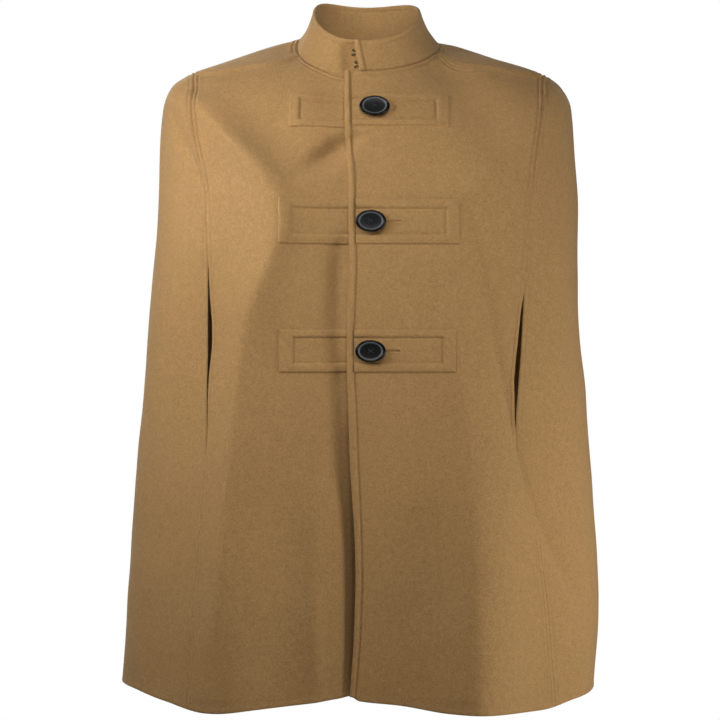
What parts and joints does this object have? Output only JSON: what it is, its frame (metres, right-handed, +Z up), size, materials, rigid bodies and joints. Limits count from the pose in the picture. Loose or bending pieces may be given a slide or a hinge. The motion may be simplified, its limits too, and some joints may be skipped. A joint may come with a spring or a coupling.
{
  "type": "wool cape",
  "caption": "Hollow wool cape in its worn form: stand collar, set-in side panels with arm slits, lapped front closed by tabs with large buttons.",
  "frame": {"origin": "base of the neck on the centre plane, level with the tops of the shoulders, where the wearer holds the cape up", "axes": "+Z up along the body to the collar, -Y out of the buttoned front, +X to the wearer's left"},
  "size_m": [0.5317, 0.3263, 0.7847],
  "materials": {
    "wool": "camel-brown wool coating with a short matt nap",
    "horn": "black, polished rim, duller dished middle",
    "thread": "black buttonhole thread, matt",
    "wire": "black enamelled wire"
  },
  "bodies": {
    "root": {"front_left": "wool", "front_right": "wool", "back": "wool", "side_left": "wool", "side_right": "wool", "collar": "wool", "tab_top_left": "wool", "tab_top_right": "wool", "tab_mid_left": "wool", "tab_mid_right": "wool", "tab_low_left": "wool", "tab_low_right": "wool", "button_top": "horn", "button_mid": "horn", "button_low": "horn", "shank_top": "thread", "shank_mid": "thread", "shank_low": "thread", "eye_upper": "wire", "eye_lower": "wire"}
  },
  "joints": []
}
